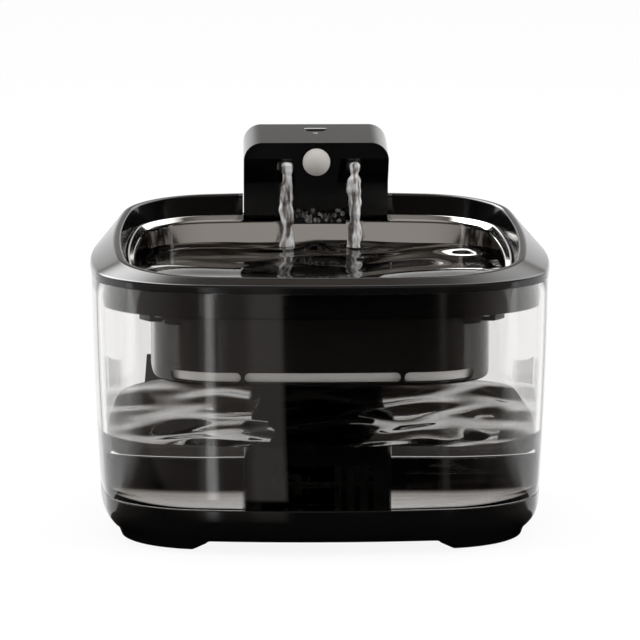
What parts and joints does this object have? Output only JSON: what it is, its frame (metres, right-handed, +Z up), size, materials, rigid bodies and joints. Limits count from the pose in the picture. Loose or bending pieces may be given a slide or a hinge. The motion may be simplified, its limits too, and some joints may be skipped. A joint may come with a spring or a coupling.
{
  "type": "pet water fountain",
  "caption": "Cordless pet drinking fountain: clear tank on a black base, sloping rim with a steel tray, and a rear head whose two spouts pour water.",
  "frame": {"origin": "middle of the footprint, on the floor under the foot pads", "axes": "+Z up, +Y towards the head at the back, +X to the right seen from the front"},
  "size_m": [0.21, 0.21, 0.1703],
  "materials": {
    "black_abs": "semi-gloss moulded black",
    "clear_plastic": "clear moulded plastic",
    "steel": "brushed stainless steel",
    "tub_plastic": "gloss black, slightly smoky",
    "white_plastic": "white moulded plastic",
    "lens_white": "milky lens plastic",
    "cotton": "bonded filter fibre",
    "carbon": "granular carbon bed",
    "sponge": "open-cell foam",
    "rubber": "soft black rubber",
    "board": "green circuit board",
    "part_grey": "grey engineering plastic",
    "battery_wrap": "blue shrink film",
    "screw_steel": "zinc-plated steel",
    "contact_brass": "plated brass",
    "magnet": "coated ferrite"
  },
  "bodies": {
    "stand": {"base_shell": "black_abs", "foot_pads": "rubber", "tank": "clear_plastic", "pump_housing": "black_abs", "pump_foot": "black_abs", "intake_sponge": "sponge", "volute_cover": "part_grey", "volute_body": "part_grey", "motor_stator": "part_grey", "rotor_shaft": "screw_steel", "riser_column": "black_abs", "contact_pads": "contact_brass", "pump_lead": "rubber"},
    "lid": {"lid_rim": "black_abs", "filter_tub": "tub_plastic", "drain_grille": "black_abs"},
    "tray": {"steel_tray": "steel"},
    "filter": {"filter_frame": "white_plastic", "filter_cotton": "cotton", "filter_carbon": "carbon"},
    "head": {"head_cap": "black_abs", "head_body": "black_abs", "case_gasket": "rubber", "case_screws": "screw_steel", "board_screws": "screw_steel", "sensor_lens": "lens_white", "pir_sensor": "screw_steel", "sensor_board": "board", "main_board": "board", "mode_switch": "part_grey", "status_light": "lens_white", "battery_cells": "battery_wrap", "battery_bracket": "part_grey", "charge_board": "board", "usb_socket": "screw_steel", "water_manifold": "part_grey", "spout_nozzles": "black_abs", "inlet_seal": "rubber", "contact_pins": "contact_brass"},
    "button": {"mode_button": "black_abs"},
    "flap": {"port_flap": "rubber"},
    "rotor": {"impeller": "white_plastic", "rotor_magnet": "magnet"}
  },
  "joints": [
    {"name": "lid_lift", "type": "slide", "parent": "stand", "child": "lid", "axis": [0, 0, 1], "range_m": [0, 0.08]},
    {"name": "head_lift", "type": "slide", "parent": "lid", "child": "head", "axis": [0, 0, 1], "range_m": [0, 0.16]},
    {"name": "tray_lift", "type": "slide", "parent": "lid", "child": "tray", "axis": [0, 0, 1], "range_m": [0, 0.096]},
    {"name": "filter_lift", "type": "slide", "parent": "lid", "child": "filter", "axis": [0, 0, 1], "range_m": [0, 0.064]},
    {"name": "mode_button_press", "type": "slide", "parent": "head", "child": "button", "axis": [0, 0, -1], "range_m": [0, 0.0007], "stiffness_N_per_m": 400, "springref_m": -0.0005},
    {"name": "port_flap_hinge", "type": "hinge", "parent": "head", "child": "flap", "pos_m": [-0.018, 0.104, 0.1358], "axis": [-1, 0, 0], "range_deg": [0, 100]},
    {"name": "impeller_spin", "type": "hinge", "parent": "stand", "child": "rotor", "pos_m": [0, 0.0744, 0.03], "axis": [0, 0, 1], "continuous": true}
  ],
  "couplings": [
    {"joint": "tray_lift", "follows": "head_lift", "ratio": 0.6},
    {"joint": "filter_lift", "follows": "head_lift", "ratio": 0.4}
  ]
}
